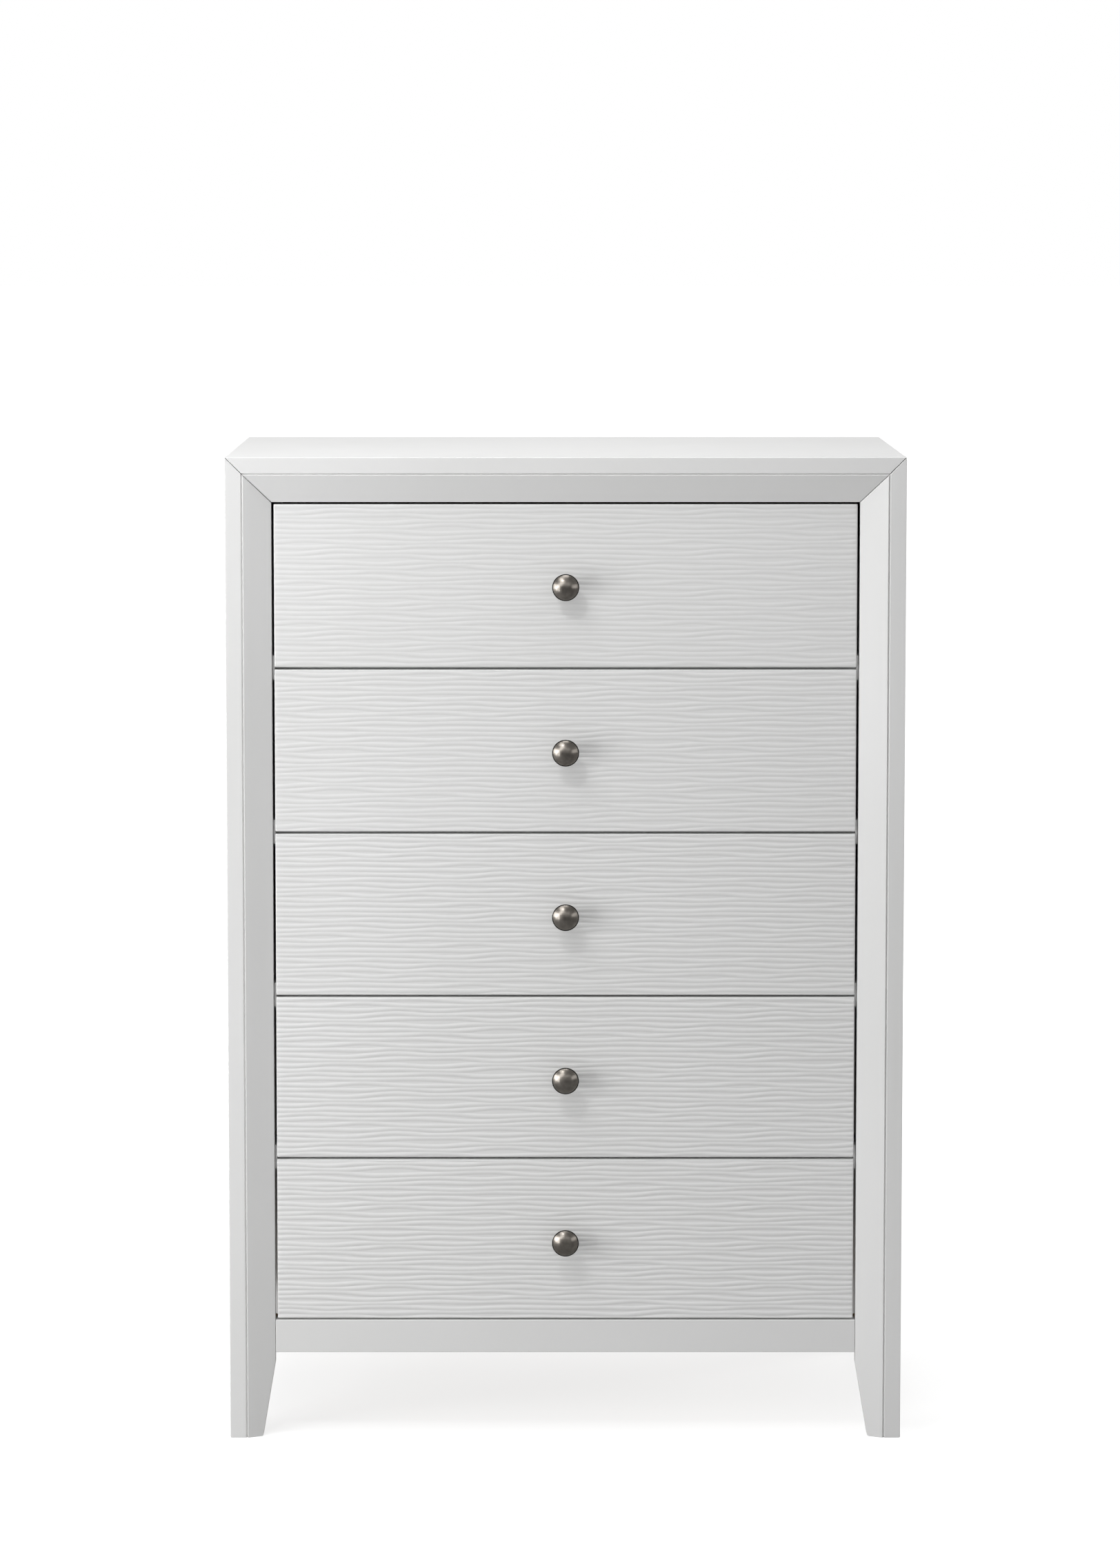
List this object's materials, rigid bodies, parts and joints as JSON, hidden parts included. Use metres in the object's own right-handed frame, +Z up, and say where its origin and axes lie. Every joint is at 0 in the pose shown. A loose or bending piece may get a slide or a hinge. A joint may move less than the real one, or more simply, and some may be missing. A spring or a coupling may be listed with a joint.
{
  "type": "tall chest of drawers",
  "caption": "Tall chest of drawers with a mitred face frame, tapered legs, rippled drawer fronts, round metal knobs, and drawer boxes that slide on centre tracks.",
  "frame": {"origin": "on the floor, under the middle of the outline that the case and the knobs share", "axes": "+Z up, -Y out of the drawer fronts (drawers open towards -Y), +X to the right seen from the front"},
  "size_m": [0.838, 0.425, 1.23],
  "materials": {
    "white_paint": "satin white paint on solid wood and fibreboard",
    "drawer_wood": "clear lacquered pale hardwood",
    "plywood": "thin unpainted plywood",
    "track_steel": "zinc-plated rolled steel",
    "glide_plastic": "moulded off-white plastic",
    "knob_nickel": "satin nickel plate, warm dark grey"
  },
  "bodies": {
    "case": {"left_stile": "white_paint", "right_stile": "white_paint", "top_rail": "white_paint", "bottom_rail": "white_paint", "front_left_post": "white_paint", "front_right_post": "white_paint", "rear_left_leg": "white_paint", "rear_right_leg": "white_paint", "left_side_panel": "white_paint", "right_side_panel": "white_paint", "top_panel": "white_paint", "back_panel": "plywood", "rear_top_rail": "drawer_wood", "rear_stretcher": "drawer_wood", "back_brace": "drawer_wood", "divider_rail_1": "white_paint", "divider_rail_2": "white_paint", "divider_rail_3": "white_paint", "divider_rail_4": "white_paint", "lower_runner_rail": "drawer_wood", "drawer_track_1": "track_steel", "drawer_track_2": "track_steel", "drawer_track_3": "track_steel", "drawer_track_4": "track_steel", "drawer_track_5": "track_steel"},
    "drawer_1": {"drawer_1_front": "white_paint", "drawer_1_left_side": "drawer_wood", "drawer_1_right_side": "drawer_wood", "drawer_1_back": "drawer_wood", "drawer_1_bottom": "plywood", "drawer_1_glide": "glide_plastic", "drawer_1_knob": "knob_nickel"},
    "drawer_2": {"drawer_2_front": "white_paint", "drawer_2_left_side": "drawer_wood", "drawer_2_right_side": "drawer_wood", "drawer_2_back": "drawer_wood", "drawer_2_bottom": "plywood", "drawer_2_glide": "glide_plastic", "drawer_2_knob": "knob_nickel"},
    "drawer_3": {"drawer_3_front": "white_paint", "drawer_3_left_side": "drawer_wood", "drawer_3_right_side": "drawer_wood", "drawer_3_back": "drawer_wood", "drawer_3_bottom": "plywood", "drawer_3_glide": "glide_plastic", "drawer_3_knob": "knob_nickel"},
    "drawer_4": {"drawer_4_front": "white_paint", "drawer_4_left_side": "drawer_wood", "drawer_4_right_side": "drawer_wood", "drawer_4_back": "drawer_wood", "drawer_4_bottom": "plywood", "drawer_4_glide": "glide_plastic", "drawer_4_knob": "knob_nickel"},
    "drawer_5": {"drawer_5_front": "white_paint", "drawer_5_left_side": "drawer_wood", "drawer_5_right_side": "drawer_wood", "drawer_5_back": "drawer_wood", "drawer_5_bottom": "plywood", "drawer_5_glide": "glide_plastic", "drawer_5_knob": "knob_nickel"}
  },
  "joints": [
    {"name": "drawer_1_slide", "type": "slide", "parent": "case", "child": "drawer_1", "axis": [0, -1, 0], "range_m": [0, 0.25]},
    {"name": "drawer_2_slide", "type": "slide", "parent": "case", "child": "drawer_2", "axis": [0, -1, 0], "range_m": [0, 0.25]},
    {"name": "drawer_3_slide", "type": "slide", "parent": "case", "child": "drawer_3", "axis": [0, -1, 0], "range_m": [0, 0.25]},
    {"name": "drawer_4_slide", "type": "slide", "parent": "case", "child": "drawer_4", "axis": [0, -1, 0], "range_m": [0, 0.25]},
    {"name": "drawer_5_slide", "type": "slide", "parent": "case", "child": "drawer_5", "axis": [0, -1, 0], "range_m": [0, 0.25]}
  ]
}
